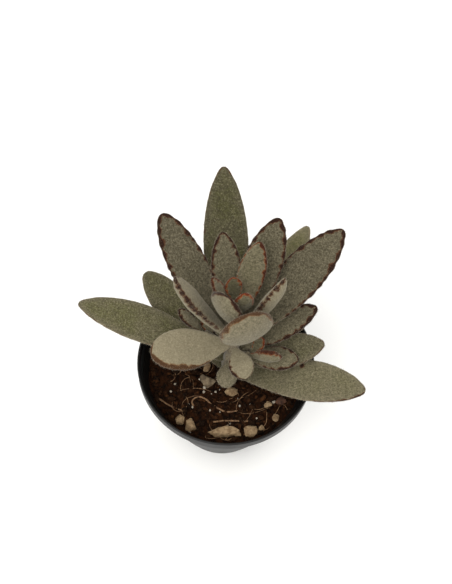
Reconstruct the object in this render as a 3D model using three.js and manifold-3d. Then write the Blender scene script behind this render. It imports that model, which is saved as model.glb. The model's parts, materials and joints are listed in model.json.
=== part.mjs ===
// A felted panda-plant kalanchoe in a round plastic nursery pot.
// Millimetres, +Z up. The origin is the centre of the pot's flat underside.
// +X is to the right and -Y is towards the front, where the open soil shows.
import * as THREE from "three";
import { mergeVertices } from "three/addons/utils/BufferGeometryUtils.js";
import Module from "manifold-3d";

const wasm = await Module();
wasm.setup();

// ---------------------------------------------------------------- driving dimensions
const POT_HEIGHT = 70;
const POT_TOP_RADIUS = 43.2; // outside of the wall, just under the lip
const POT_BASE_RADIUS = 26.5;
const POT_WALL = 1.1;
const POT_FLOOR = 1.4;
const LIP_HEIGHT = 6;
const LIP_OVERHANG = 1.8; // how far the lip stands out from the wall
const DRAIN_HOLES = 6;
const DRAIN_RADIUS = 3.2;
const DRAIN_INSET = 6.5; // from the edge of the floor to a hole's centre

const SOIL_DROP = 14; // from the pot's top edge down to the soil
const SOIL_CLEARANCE = 0.3;
const SOIL_LUMP = 0.7;
const STONE_PROUD = 0.17; // a stone's middle above the soil, as a share of its height
const FIBRE_PROUD = 0.3; // a fibre's middle above the soil, as a share of its radius

const STEM_BASE = { x: 1.5, y: -3 };
const STEM_TOP = { x: 3.8, y: 10.5 };
const STEM_HEIGHT = 58; // from the soil to the growing point
const STEM_BOW = 1.5; // how far its middle bows towards the front
const STEM_BASE_RADIUS = 4.4;
const STEM_TOP_RADIUS = 1.7;
const STEM_BURIED = 16;
const SIDE_SHOOT_RADIUS = 2.4;
const SIDE_SHOOT_TIP = 1.2;
const ROOTS = 5;
const ROOT_LENGTH = 21;
const ROOT_RADIUS = 1.5;

const CLEARANCE = 0.3; // between pieces that touch
const FULL_TURN = Math.PI * 2;
const SOIL_LEVEL = POT_HEIGHT - SOIL_DROP;
const rad = THREE.MathUtils.degToRad;

// The plant is laid out for this stem height, and the stones for this radius of soil.
// Both grow or shrink with the real ones.
const LAYOUT_STEM_HEIGHT = 58;
const LAYOUT_SOIL_RADIUS = 39;
const GROWTH = STEM_HEIGHT / LAYOUT_STEM_HEIGHT;

// ---------------------------------------------------------------- materials
const finish = (color, roughness) =>
  new THREE.MeshStandardMaterial({ color, roughness, metalness: 0 });
const potPlastic = finish(0x1c1b19, 0.45);
const darkSoil = finish(0x2a1a10, 1);
const feltedStem = finish(0x8a8168, 0.95);
const oldLeaf = finish(0x77755a, 0.95);
const youngLeaf = finish(0x979078, 0.95);
const pumice = finish(0xb49a70, 0.9);
const bark = finish(0x5e3a22, 0.95);
const rootFibre = finish(0x8a6238, 0.9);

// ---------------------------------------------------------------- solids
function solidOf(geometry) {
  const bare = geometry.clone();
  for (const name of Object.keys(bare.attributes)) {
    if (name !== "position") bare.deleteAttribute(name);
  }
  const merged = mergeVertices(bare, 1e-4);
  return new wasm.Manifold(
    new wasm.Mesh({
      numProp: 3,
      vertProperties: merged.attributes.position.array,
      triVerts: new Uint32Array(merged.index.array),
    }),
  );
}

function geometryOf(solid) {
  const mesh = solid.getMesh();
  const geometry = new THREE.BufferGeometry();
  const places = new THREE.BufferAttribute(mesh.vertProperties, 3);
  geometry.setAttribute("position", places);
  geometry.setIndex(new THREE.BufferAttribute(mesh.triVerts, 1));
  geometry.computeVertexNormals();
  return geometry;
}

// A closed skin over rings of points with a pole at each end, like a capped tube.
function skin(startPole, rings, endPole) {
  const sides = rings[0].length;
  const points = [startPole, ...rings.flat(), endPole];
  const last = points.length - 1;
  const at = (ring, side) => 1 + ring * sides + (side % sides);
  const faces = [];
  for (let side = 0; side < sides; side++) {
    faces.push(0, at(0, side + 1), at(0, side));
    for (let ring = 0; ring + 1 < rings.length; ring++) {
      const a = at(ring, side);
      const b = at(ring, side + 1);
      const c = at(ring + 1, side + 1);
      const d = at(ring + 1, side);
      faces.push(a, b, c, a, c, d);
    }
    faces.push(at(rings.length - 1, side), at(rings.length - 1, side + 1), last);
  }
  const geometry = new THREE.BufferGeometry().setFromPoints(points);
  geometry.setIndex(faces);
  geometry.computeVertexNormals();
  return geometry;
}

// ---------------------------------------------------------------- pot
const innerRadiusAt = (z) => {
  const share = z / (POT_HEIGHT - LIP_HEIGHT);
  return THREE.MathUtils.lerp(POT_BASE_RADIUS, POT_TOP_RADIUS, share) - POT_WALL;
};

function potGeometry() {
  const wallTop = POT_HEIGHT - LIP_HEIGHT;
  const lip = POT_TOP_RADIUS + LIP_OVERHANG;
  const rounding = POT_WALL / 2;
  const profile = [
    [0, 0],
    [POT_BASE_RADIUS - rounding, 0],
    [POT_BASE_RADIUS, rounding],
    [POT_TOP_RADIUS, wallTop],
    [lip - rounding, wallTop],
    [lip, wallTop + rounding],
    [lip, POT_HEIGHT - rounding],
    [lip - rounding, POT_HEIGHT],
    [lip - POT_WALL, POT_HEIGHT - rounding],
    [lip - POT_WALL - rounding, wallTop + POT_WALL],
    [innerRadiusAt(wallTop), wallTop - rounding],
    [innerRadiusAt(POT_FLOOR), POT_FLOOR],
    [0, POT_FLOOR],
  ].map(([r, z]) => new THREE.Vector2(r, z));
  let pot = solidOf(new THREE.LatheGeometry(profile, 48).rotateX(Math.PI / 2));
  for (let hole = 0; hole < DRAIN_HOLES; hole++) {
    const angle = (hole / DRAIN_HOLES) * FULL_TURN;
    const reach = POT_BASE_RADIUS - DRAIN_INSET;
    const drill = new THREE.CylinderGeometry(DRAIN_RADIUS, DRAIN_RADIUS, 4 * POT_FLOOR, 16);
    drill.rotateX(Math.PI / 2);
    drill.translate(reach * Math.cos(angle), reach * Math.sin(angle), POT_FLOOR / 2);
    pot = pot.subtract(solidOf(drill));
  }
  return geometryOf(pot);
}

// ---------------------------------------------------------------- stems and roots
// A shoot runs from one point to another with a slight bow towards the front.
// Its radius narrows evenly, so every leaf knows where the bark is at its own height.
const shoot = (from, to, bow, fromRadius, toRadius) => {
  const length = from.distanceTo(to);
  return {
    length,
    centre: (along) => {
      const share = along / length;
      const point = from.clone().lerp(to, share);
      point.y -= bow * Math.sin(Math.PI * THREE.MathUtils.clamp(share, 0, 1));
      return point;
    },
    radius: (along) => {
      const share = THREE.MathUtils.clamp(along / length, 0, 1);
      return THREE.MathUtils.lerp(fromRadius, toRadius, share ** 1.3);
    },
  };
};

const vec = (x, y, z) => new THREE.Vector3(x, y, z);
const mainShoot = shoot(
  vec(STEM_BASE.x, STEM_BASE.y, SOIL_LEVEL),
  vec(STEM_TOP.x, STEM_TOP.y, SOIL_LEVEL + LAYOUT_STEM_HEIGHT),
  STEM_BOW,
  STEM_BASE_RADIUS,
  STEM_TOP_RADIUS,
);

// A side shoot leaves the main stem at a height and ends at a point beside it.
const sideShoot = (height, x, y, rise) => {
  const from = mainShoot.centre(height);
  return shoot(from, vec(x, y, SOIL_LEVEL + rise), 0, SIDE_SHOOT_RADIUS, SIDE_SHOOT_TIP);
};
const leftShoot = sideShoot(22, -11.5, 7, 29);
const frontShoot = sideShoot(18, 11, -1.5, 26);

// A tapering round rod through centre(share) with radius(share), share from 0 to 1.
function rod(centre, radius, steps, sides) {
  const rings = [];
  for (let step = 0; step <= steps; step++) {
    const share = step / steps;
    const here = centre(share);
    const along = centre(share + 0.01).sub(centre(share - 0.01)).normalize();
    const across = vec(0, 0, 1).cross(along);
    if (across.length() < 0.05) across.set(1, 0, 0);
    across.normalize();
    const other = along.clone().cross(across);
    const ring = [];
    for (let side = 0; side < sides; side++) {
      const angle = (side / sides) * FULL_TURN;
      const point = here.clone();
      point.addScaledVector(across, radius(share) * Math.cos(angle));
      point.addScaledVector(other, radius(share) * Math.sin(angle));
      ring.push(point);
    }
    rings.push(ring);
  }
  return skin(centre(0), rings, centre(1));
}

function shootSolid(axis, start, end, grow, steps, sides) {
  const alongAt = (share) => THREE.MathUtils.lerp(start, end, share);
  return solidOf(
    rod(
      (share) => axis.centre(alongAt(share)),
      (share) => axis.radius(alongAt(share)) + grow,
      steps,
      sides,
    ),
  );
}

// The main stem with its two side shoots and the roots that hold it in the soil.
function stemSolid(grow) {
  let solid = shootSolid(mainShoot, -STEM_BURIED, mainShoot.length, grow, 12, 12);
  for (const side of [leftShoot, frontShoot]) {
    solid = solid.add(shootSolid(side, 0, side.length, grow, 4, 8));
  }
  for (let root = 0; root < ROOTS; root++) {
    const angle = ((root + 0.3) / ROOTS) * FULL_TURN;
    const outward = vec(Math.cos(angle), Math.sin(angle), 0);
    const start = mainShoot.centre(2 - STEM_BURIED);
    const centre = (share) =>
      start
        .clone()
        .addScaledVector(outward, ROOT_LENGTH * share * 0.8)
        .add(vec(0, 0, -ROOT_LENGTH * share * share * 0.9));
    const radius = (share) => ROOT_RADIUS * (1 - 0.7 * share) + grow;
    solid = solid.add(solidOf(rod(centre, radius, 5, 6)));
  }
  return solid.translate([0, 0, -SOIL_LEVEL]).scale(GROWTH).translate([0, 0, SOIL_LEVEL]);
}

// ---------------------------------------------------------------- leaves
const LEAF_STATIONS = [0, 0.07, 0.17, 0.3, 0.44, 0.58, 0.71, 0.82, 0.91, 0.97];
const LEAF_SIDES = 8;
const LEAF_BROADEST = 0.58; // share of the length where a leaf is broadest
const LEAF_BASE_WIDTH = 0.3; // width at the stem, as a share of the widest place
const LEAF_BASE_THICKNESS = 0.62;
const UPPER_SHARE = 0.36; // how much of a leaf's thickness lies above its midrib
const MIDRIB_STEPS = 40;

// Half-breadth along a leaf, 0 at the tip and 1 where it is broadest.
// A low bluntness number gives a rounder tip.
function breadth(share, baseShare, bluntness) {
  if (share > LEAF_BROADEST) {
    const past = (share - LEAF_BROADEST) / (1 - LEAF_BROADEST);
    return Math.max(Math.cos((Math.PI / 2) * past), 0) ** bluntness;
  }
  const before = Math.sin((Math.PI / 2) * (share / LEAF_BROADEST)) ** 1.15;
  return THREE.MathUtils.lerp(baseShare, 1, before);
}

// A leaf's pitch and azimuth change evenly from its base to its tip, by arch and sweep.
function leafGeometry(leaf) {
  const { on = mainShoot, azimuth, pitch, arch = 0, sweep = 0, roll = 0, gap = 0 } = leaf;
  const { length, width, thickness, cup = 0.1, bluntness = 0.58 } = leaf;
  const pitchAt = (share) => rad(pitch + arch * (share - 0.5));
  const azimuthAt = (share) => rad(azimuth + sweep * (share - 0.5));
  const direction = (share) => {
    const flat = Math.cos(pitchAt(share));
    const round = azimuthAt(share);
    return vec(flat * Math.cos(round), flat * Math.sin(round), Math.sin(pitchAt(share)));
  };

  // the steeper a leaf stands, the further its thick base must keep from the stem
  const baseDepth = thickness * LEAF_BASE_THICKNESS;
  const stand = baseDepth * (UPPER_SHARE + 0.15) * Math.sin(Math.abs(pitchAt(0)));
  const reach = on.radius(leaf.height) + CLEARANCE + stand + gap;
  const start = on.centre(leaf.height);
  start.addScaledVector(vec(Math.cos(azimuthAt(0)), Math.sin(azimuthAt(0)), 0), reach);
  const midrib = [start];
  for (let step = 0; step < MIDRIB_STEPS; step++) {
    const next = midrib[step].clone();
    next.addScaledVector(direction((step + 0.5) / MIDRIB_STEPS), length / MIDRIB_STEPS);
    midrib.push(next);
  }
  const place = (share) => {
    const exact = share * MIDRIB_STEPS;
    const step = Math.min(Math.floor(exact), MIDRIB_STEPS - 1);
    return midrib[step].clone().lerp(midrib[step + 1], exact - step);
  };

  const rings = LEAF_STATIONS.map((share) => {
    const along = direction(share);
    const across = vec(-Math.sin(azimuthAt(share)), Math.cos(azimuthAt(share)), 0);
    across.applyAxisAngle(along, rad(roll));
    const above = along.clone().cross(across);
    const half = (width / 2) * breadth(share, LEAF_BASE_WIDTH, bluntness);
    const deep = thickness * breadth(share, LEAF_BASE_THICKNESS, bluntness * 0.8);
    const ring = [];
    for (let side = 0; side < LEAF_SIDES; side++) {
      const turn = (side / LEAF_SIDES) * FULL_TURN;
      const sideways = Math.cos(turn);
      const layer = Math.sin(turn);
      const lift = layer > 0 ? UPPER_SHARE * layer : (1 - UPPER_SHARE) * layer;
      const point = place(share);
      point.addScaledVector(across, half * sideways);
      point.addScaledVector(above, deep * lift + cup * half * (sideways * sideways - 0.5));
      ring.push(point);
    }
    return ring;
  });
  const blade = skin(place(0), rings, place(1));
  return blade.translate(0, 0, -SOIL_LEVEL).scale(GROWTH, GROWTH, GROWTH).translate(0, 0, SOIL_LEVEL);
}

// name, height up the shoot, azimuth, pitch, length, width, thickness, and what is special.
// Azimuth 0 points to +X and 90 to the back. Pitch is degrees above the horizontal, and
// roll turns a leaf about its own length.
const LEAVES = [
  // the oldest leaves: long, green and nearly plain-edged
  leaf("leaf_back_long", 14, 98, 32, 95, 23, 4.8, { arch: 10, old: true }),
  leaf("leaf_left_long", 17, 171, 16, 76, 20, 4.8, { arch: -20, old: true }),
  leaf("leaf_right_front_long", 7, -13, 19, 66, 22, 4.8, { arch: -16, old: true }),
  leaf("leaf_back_left_low", 7, 141, 24, 61, 20, 4.6, { old: true, bluntness: 0.48 }),
  leaf("leaf_back_right_low", 9, 63, 26, 79, 18, 4.6, { old: true }),
  leaf("leaf_right_low", 14, 9, 19, 44, 18, 4.4, { arch: -6, old: true }),
  // the middle leaves: grey, with a brown edge near the tip
  leaf("leaf_right_back_broad", 29, 43, 34, 73, 22, 5, { arch: 6 }),
  leaf("leaf_left_back_broad", 28, 131, 36, 69, 19, 5, { arch: 6, bluntness: 0.48 }),
  leaf("leaf_back_right_tall", 34, 70, 41, 58, 19, 4.8, { arch: 6 }),
  leaf("leaf_right_mid", 24, 24, 26, 43, 15, 4.8),
  leaf("leaf_front_left_broad", 30, -158, 14, 38, 22, 6, { arch: -8, bluntness: 0.48 }),
  leaf("leaf_front_drooping", 29, -68, -5, 16, 12, 5, { arch: -40 }),
  leaf("leaf_front_low", 19, -96, -12, 13, 10, 5, { arch: -30 }),
  // the upright young leaves round the growing point
  leaf("leaf_back_left_upright", 38, 107, 50, 46, 14.5, 4.8, { arch: 10 }),
  leaf("leaf_back_right_upright", 44, 74, 50, 38, 13, 4.6, { arch: 10 }),
  leaf("leaf_left_upright", 36, 168, 56, 44, 12, 6.6, { arch: 10, roll: 25 }),
  leaf("leaf_right_upright", 39, 22, 66, 40, 11, 6.4, { arch: 6, roll: -55 }),
  leaf("leaf_front_cupped", 41.5, -66, 78, 33, 25, 7, { arch: 50, bluntness: 0.45 }),
  leaf("leaf_front_left_upright", 49, -129, 82, 25.5, 20, 4.2, { arch: 36, bluntness: 0.48 }),
  leaf("bud_leaf_left", 51.8, 158, 58, 21, 7.2, 2.7, { arch: 10 }),
  leaf("bud_leaf_back", 55, 118, 60, 12.5, 8.6, 2.4, { arch: 20 }),
  leaf("bud_leaf_front", 55, -70, 86, 18, 10, 2.8, { arch: 30 }),
  // the side shoot on the left
  leaf("left_shoot_outer_leaf", 17.5, 166, 48, 17, 7, 3, { on: leftShoot }),
  leaf("left_shoot_inner_leaf", 11, 125, 20, 9, 6, 3, { on: leftShoot, gap: 1 }),
  // the side shoot on the front right
  leaf("front_shoot_outer_leaf", 7, -5, 11, 25, 13, 4, { on: frontShoot, gap: 1.4 }),
  leaf("front_shoot_near_leaf", 12, -14, 30, 16, 9.5, 4.4, { on: frontShoot, roll: -84 }),
  leaf("front_shoot_far_leaf", 12, 34, 58, 10.5, 7, 2.2, { on: frontShoot }),
];

function leaf(name, height, azimuth, pitch, length, width, thickness, more = {}) {
  return { name, height, azimuth, pitch, length, width, thickness, ...more };
}

// ---------------------------------------------------------------- soil and what lies on it
const lump = (x, y) =>
  SOIL_LUMP *
  (Math.sin(0.21 * x + 1.1) * Math.cos(0.17 * y) + 0.5 * Math.sin(0.43 * x - 0.37 * y));
const soilTop = (x, y) => SOIL_LEVEL + lump(x, y);
const BED = innerRadiusAt(SOIL_LEVEL) / LAYOUT_SOIL_RADIUS; // scale of what lies on the soil

// A smooth stone, sunk a third of its height into the soil. turn is in degrees.
function stoneSolid(stone, grow) {
  const { length, width, height, turn = 0 } = stone;
  const x = BED * stone.x;
  const y = BED * stone.y;
  const geometry = new THREE.IcosahedronGeometry(1, 1);
  const places = geometry.attributes.position;
  for (let i = 0; i < places.count; i++) {
    const point = new THREE.Vector3().fromBufferAttribute(places, i);
    const dent = 1 + 0.09 * Math.sin(3.1 * point.x + x) * Math.cos(2.7 * point.y + y);
    places.setXYZ(i, point.x * dent, point.y * dent, point.z * dent);
  }
  const half = BED / 2;
  geometry.scale(half * length + grow, half * width + grow, half * height + grow);
  geometry.rotateZ(rad(turn));
  geometry.translate(x, y, soilTop(x, y) + BED * height * STONE_PROUD);
  return solidOf(geometry);
}

// A root that has come to the surface and lies half in the soil.
function fibreSolid(fibre, grow) {
  const { path, radius } = fibre;
  const places = path.map(([x, y]) => [BED * x, BED * y]);
  const points = places.map(([x, y]) => vec(x, y, soilTop(x, y) + radius * FIBRE_PROUD));
  const curve = new THREE.CatmullRomCurve3(points);
  const centre = (share) => curve.getPoint(THREE.MathUtils.clamp(share, 0, 1));
  return solidOf(rod(centre, () => radius + grow, 3 * path.length, 5));
}

const STONES = [
  { name: "pebble_front_of_stem", x: 4, y: -11.5, length: 6.6, width: 5.4, height: 4.6, turn: 15 },
  { name: "pebble_grey", x: -8.5, y: -7, length: 8.2, width: 7, height: 5.6, turn: -15 },
  { name: "pebble_by_stem", x: -9.5, y: 1, length: 6.2, width: 3.4, height: 3.2, turn: 70 },
  { name: "pebble_left_a", x: -20, y: -28.5, length: 6, width: 4.6, height: 4.2, turn: 65 },
  { name: "pebble_left_b", x: -14.3, y: -31, length: 6.4, width: 5.2, height: 4.4, turn: 100 },
  { name: "pebble_front_chunk", x: 2.2, y: -33, length: 15.5, width: 5.6, height: 4.6, turn: 4 },
  { name: "pebble_front_right", x: 15, y: -31.2, length: 7, width: 6.4, height: 4.8, turn: 30 },
  { name: "pebble_small", x: 20.3, y: -29, length: 3.4, width: 3, height: 2.6 },
  { name: "pebble_right_a", x: 22.5, y: -17, length: 4.4, width: 3.8, height: 3.4 },
  { name: "pebble_right_b", x: 27, y: -23, length: 4.2, width: 3.4, height: 3, turn: 40 },
  { name: "bark_chip", x: 29, y: -14, length: 6.4, width: 4.2, height: 3, turn: 25, bark: true },
];
const FIBRES = [
  { name: "root_fibre_left", radius: 0.5, path: [[-34, -17], [-28, -20.5], [-23, -22.5], [-18, -24]] },
  {
    name: "root_fibre_middle",
    radius: 0.55,
    path: [[-14, -21], [-15, -18.5], [-12.5, -16], [-9, -16.5], [-5, -19], [2, -22], [8, -21]],
  },
  { name: "root_fibre_front", radius: 0.5, path: [[-5, -28.5], [1, -27], [7, -26.5], [14, -26]] },
];

// The potting mix fills the pot to SOIL_LEVEL and is cut clear of everything set in it.
function soilGeometry(cutters) {
  const sides = 40;
  const edge = innerRadiusAt(SOIL_LEVEL - 2 * SOIL_LUMP) - SOIL_CLEARANCE;
  const bottom = POT_FLOOR + SOIL_CLEARANCE;
  const ringAt = (radius, height) =>
    Array.from({ length: sides }, (_, side) => {
      const angle = (side / sides) * FULL_TURN;
      const x = radius * Math.cos(angle);
      const y = radius * Math.sin(angle);
      return vec(x, y, height(x, y));
    });
  const rings = [
    ringAt(innerRadiusAt(bottom) - SOIL_CLEARANCE, () => bottom),
    ...[1, 0.88, 0.7, 0.5, 0.3, 0.12].map((share) => ringAt(share * edge, soilTop)),
  ];
  let soil = solidOf(skin(vec(0, 0, bottom), rings, vec(0, 0, soilTop(0, 0))));
  for (const cutter of cutters) soil = soil.subtract(cutter);
  return geometryOf(soil);
}

// ---------------------------------------------------------------- the assembly
const plant = new THREE.Group();

function addPiece(name, geometry, material) {
  const mesh = new THREE.Mesh(geometry, material.clone());
  mesh.name = name;
  plant.add(mesh);
}

const setInSoil = [
  stemSolid(CLEARANCE),
  ...STONES.map((stone) => stoneSolid(stone, CLEARANCE)),
  ...FIBRES.map((fibre) => fibreSolid(fibre, CLEARANCE)),
];
addPiece("pot", potGeometry(), potPlastic);
addPiece("soil", soilGeometry(setInSoil), darkSoil);
addPiece("stem", geometryOf(stemSolid(0)), feltedStem);
for (const each of LEAVES) {
  addPiece(each.name, leafGeometry(each), each.old ? oldLeaf : youngLeaf);
}
for (const stone of STONES) {
  addPiece(stone.name, geometryOf(stoneSolid(stone, 0)), stone.bark ? bark : pumice);
}
for (const fibre of FIBRES) {
  addPiece(fibre.name, geometryOf(fibreSolid(fibre, 0)), rootFibre);
}

export default plant;
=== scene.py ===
"""A panda-plant kalanchoe in a black nursery pot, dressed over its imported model.

Everything is in metres in the row frame. Each leaf's fine surface is drawn over the rings of
points of its CAD solid, and then gets its teeth, its brown edge and its felt of hairs.
"""

import json
import math

import bmesh
import bpy
import numpy as np
from mathutils import Matrix, Vector, noise
from mathutils.bvhtree import BVHTree


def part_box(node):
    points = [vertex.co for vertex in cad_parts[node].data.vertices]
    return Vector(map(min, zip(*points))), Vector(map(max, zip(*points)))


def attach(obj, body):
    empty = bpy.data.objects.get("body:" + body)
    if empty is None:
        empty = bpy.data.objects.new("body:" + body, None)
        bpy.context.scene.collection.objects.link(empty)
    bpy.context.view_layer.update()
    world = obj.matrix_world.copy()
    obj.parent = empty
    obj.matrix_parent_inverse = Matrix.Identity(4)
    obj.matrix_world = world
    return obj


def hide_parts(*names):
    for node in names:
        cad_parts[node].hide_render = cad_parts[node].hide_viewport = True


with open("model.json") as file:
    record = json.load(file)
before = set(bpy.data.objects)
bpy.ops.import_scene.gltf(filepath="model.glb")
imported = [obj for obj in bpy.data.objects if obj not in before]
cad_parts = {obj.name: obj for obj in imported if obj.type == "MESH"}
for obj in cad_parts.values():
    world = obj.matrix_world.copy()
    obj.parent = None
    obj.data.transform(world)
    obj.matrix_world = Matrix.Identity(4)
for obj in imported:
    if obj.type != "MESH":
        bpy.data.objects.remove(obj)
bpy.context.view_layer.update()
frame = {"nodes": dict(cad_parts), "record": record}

MM = 0.001
WELD = 0.002 * MM  # points closer than this are one
NODES = frame["nodes"]
FULL_TURN = 2 * math.pi
LEAF_SLOTS = {part["node"]: part["material_slot"] for part in frame["record"]["subparts"]}

# ---------------------------------------------------------------- driving values
CAMERA_PLACE = Vector((0, -0.1523, 0.3861))
CAMERA_TARGET = Vector((-0.0032, 0.0336, 0.080))
CAMERA_ROLL = math.radians(4.23)
CAMERA_LENS = 42.4
SENSOR_WIDTH = 36
CAMERA_CLIP = 0.01  # nothing nearer to the camera than this is seen

FLOOR_REACH = 3.0
SKY_STRENGTH = 0.95
LIGHT_AIM = Vector((0, 0.01, 0.08))
SOFTBOXES = {  # place, width, power in watts and colour
    "key": ((-0.25, -0.45, 0.9), 0.9, 7.5, (1.0, 0.985, 0.95)),
    "back": ((0.3, 0.7, 0.8), 0.8, 2.5, (1.0, 0.99, 0.97)),
}

LEAF_RING_POINTS = 8
LEAF_AROUND = 72  # points round a leaf's fine section
LEAF_STEP = 0.55 * MM  # fine step along a leaf
LEAF_LEAST_ROWS = 24
TIP_CROWDING = 1.22  # over 1 sets the fine rows closer together towards the tip
UPPER_SHARE = 0.36  # how much of a leaf's thickness lies above its edges
SECTION_POWER = 0.82  # under 1 makes the faces flatter and the edges rounder
BASE_INSIDE = 1.8 * MM  # how far a leaf's foot runs into the stem
BASE_ROWS = 3  # rows of points on that foot
BASE_SHRINK = 0.35  # how much narrower and thinner the foot is at its end
FACE_SWELL = 0.14 * MM  # height of the gentle waves on a leaf's faces

# Shares of a leaf's length: where its teeth begin, how far they take to rise and to die out,
# how far the brown band takes to widen, how far ahead of it the blotches begin and how far they
# take to grow, and where the brown of the tip begins.
TEETH_START = 0.15
TEETH_RISE = 0.2
TEETH_FALL = 0.06
BAND_RISE = 0.45
SPOTS_AHEAD = 0.12
SPOTS_RISE = 0.15
TIP_START = 0.9
TIP_RISE = 0.1

HAIR_LENGTH = 0.42 * MM
HAIR_WIDTH = 0.045 * MM
HAIR_ROOT = 0.04 * MM  # how deep a hair stands in the skin
HAIR_LEAN = 0.55  # how far hairs lean towards the tip
HAIR_UNRULY = 0.42  # how far they stray from that
HAIR_SPREAD = (0.55, 1.2)  # shortest and longest, as shares of the length
FRINGE_LENGTH = 0.85 * MM
FRINGE_START = 0.86  # the share of the half width beyond which a fringe grows
HAIRS_PER_SQUARE_MM = 5.0
FRINGE_PER_MM = 15.0
FELT_PIECES = 3

POT_AROUND = 192
POT_WALL = 1.1 * MM
POT_FLOOR = 1.4 * MM
LIP_OVERHANG = 1.8 * MM
LIP_WALL = 1.35 * MM
LIP_ROUND = 0.6 * MM  # radius of the lip's rounded top
LIP_ARC_POINTS = 9
FOOT_HOLLOW = 0.5  # mm, the height of the hollow under the pot
STEP_SHARE = 0.2  # height of the moulded step, as a share of the lip's height
SHARP_ANGLE = math.radians(38)
DRAIN_HOLES = 6
DRAIN_RADIUS = 3.2 * MM
DRAIN_INSET = 6.5 * MM
DRILL_SIDES = 40
DRILL_LOW = -3 * MM
DRILL_HIGH = 2.4 * MM

SOIL_SAMPLES = 60  # the CAD soil's height is read on a square of this many by this many
SOIL_DEEPEST = 3 * MM  # a reading lower than this under the highest one is a cut, not soil
SOIL_SMOOTHINGS = 2
SOIL_RINGS = 96
SOIL_AROUND = 280
SOIL_CROWDING = 0.9  # under 1 sets the rings closer together towards the pot's wall
SOIL_INTO_WALL = 1.0 * MM
CRUMB_SCALE = 320
HOLLOW_SCALE = 95

GRIT_COUNT = 1500
GRIT_SPAN = (0.35, 3.0)  # mm
CRUMB_DENTS = 0.45
CRUMB_TILT = 0.35
PERLITE_SPAN = (0.7, 1.7)  # mm
PERLITE_STRAYS = 22
PERLITE_SPOTS = [  # mm, listed: by the stem, and then in front of it
    (-13, -6), (-10, -11), (-10, -13.5), (-6, -14), (-4, -12.5), (-2, -11),
    (-17, -21), (-15, -22), (-12, -24), (9, -19), (5, -29), (-27, -14), (18, -25),
]  # fmt: skip

ROOTLET_COUNT = 60
ROOTLET_SIDES = 5
ROOTLET_STEPS = 26
ROOTLET_RADII = (0.07, 0.2)  # mm
ROOTLET_STRIDES = (0.35, 0.8)  # mm

CHIP_HEIGHTS = (0.62, 0.85)  # where chips cut a stone, as shares of its reach that way
CHIP_FLATNESS = 0.92  # at 1 a chip is quite flat

# Where each kind of random draw starts.
LEAF_SEED = 100
FELT_SEED = 500
GRIT_PLACE_SEED = 7
GRIT_SHAPE_SEED = 8
PERLITE_SHAPE_SEED = 9
ROOTLET_SEED = 21
CHIP_SEED = 900

# How a leaf is dressed. teeth: height of its teeth in mm. spacing: mm between them.
# starts: where along the leaf its brown edge begins. band, spots: width in mm of the edge's
# even part and of its blotches. sides: how much of it each edge has. rim: the edge's colour.
# tone: how bright the felt is. green: how much green shows through. scar: a brown mark, by its
# share of the length, its turn round the leaf in degrees and its radius in mm.
OLD = dict(teeth=0.1, spacing=6.0, starts=0.75, band=0.7, spots=0.2, sides=(1, 1), rim="umber")
MIDDLE = dict(teeth=0.5, spacing=5.4, starts=0.3, band=1.7, spots=1.3, sides=(1, 1), rim="umber")
YOUNG = dict(teeth=0.25, spacing=3.6, starts=0.2, band=1.3, spots=1.1, sides=(1, 1), rim="umber")
BUD = dict(teeth=0.1, spacing=2.3, starts=0.1, band=1.15, spots=0.7, sides=(1, 1), rim="orange")

LEAF_STYLES = {
    "leaf_back_long": dict(OLD, band=1.0, tone=0.5, green=0.95, scar=(0.66, 10, 0.9)),
    "leaf_left_long": dict(OLD, starts=0.85, band=0.9, tone=0.68, green=0.8),
    "leaf_right_front_long": dict(
        OLD, starts=0.6, band=1.0, sides=(0.3, 1), tone=0.76, green=0.45, scar=(0.5, 50, 1.3)
    ),
    "leaf_back_left_low": dict(OLD, starts=0.95, tone=0.62, green=0.8),
    "leaf_back_right_low": dict(OLD, starts=0.9, tone=0.9, green=0.75),
    "leaf_right_low": dict(OLD, spacing=4.5, tone=0.62, green=0.55),
    "leaf_right_back_broad": dict(MIDDLE, teeth=0.6, tone=0.54, green=0.1),
    "leaf_left_back_broad": dict(MIDDLE, starts=0.35, band=1.9, tone=0.54, green=0.1),
    "leaf_back_right_tall": dict(MIDDLE, starts=0.4, tone=0.54, green=0.15),
    "leaf_right_mid": dict(MIDDLE, teeth=0.35, spacing=4.6, tone=0.64, green=0.15),
    "leaf_front_left_broad": dict(
        MIDDLE, teeth=0.2, starts=0.25, band=3.4, spots=0.4, sides=(1, 0), rim="tan",
        tone=1.2, green=0,
    ),  # fmt: skip
    "leaf_front_drooping": dict(YOUNG, sides=(0.4, 1), tone=1.05, green=0),
    "leaf_front_low": dict(OLD, starts=1.2, tone=0.8, green=0),
    "leaf_back_left_upright": dict(YOUNG, spacing=4.0, tone=0.6, green=0.2),
    "leaf_back_right_upright": dict(
        YOUNG, spacing=4.0, sides=(0.45, 1), rim="russet", tone=0.76, green=0.25
    ),
    "leaf_left_upright": dict(YOUNG, starts=0.1, band=0.75, spots=0.65, tone=1.0, green=0),
    "leaf_right_upright": dict(YOUNG, starts=0.1, band=0.3, spots=1.0, tone=1.05, green=0),
    "leaf_front_cupped": dict(YOUNG, spacing=5.0, rim="tan", tone=0.86, green=0),
    "leaf_front_left_upright": dict(YOUNG, tone=0.8, green=0.1),
    "bud_leaf_left": dict(BUD, rim="russet", tone=0.8, green=0.1),
    "bud_leaf_back": dict(BUD, tone=0.6, green=0.8),
    "bud_leaf_front": dict(BUD, tone=0.75, green=0.4),
    "left_shoot_outer_leaf": dict(BUD, band=1.3, rim="umber", tone=0.8, green=0.1),
    "left_shoot_inner_leaf": dict(BUD, rim="russet", tone=0.8, green=0.1),
    "front_shoot_outer_leaf": dict(YOUNG, spacing=4.2, starts=0.3, tone=0.74, green=0.2),
    "front_shoot_near_leaf": dict(BUD, rim="russet", tone=0.85, green=0.2),
    "front_shoot_far_leaf": dict(BUD, tone=0.7, green=0.5),
}

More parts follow.
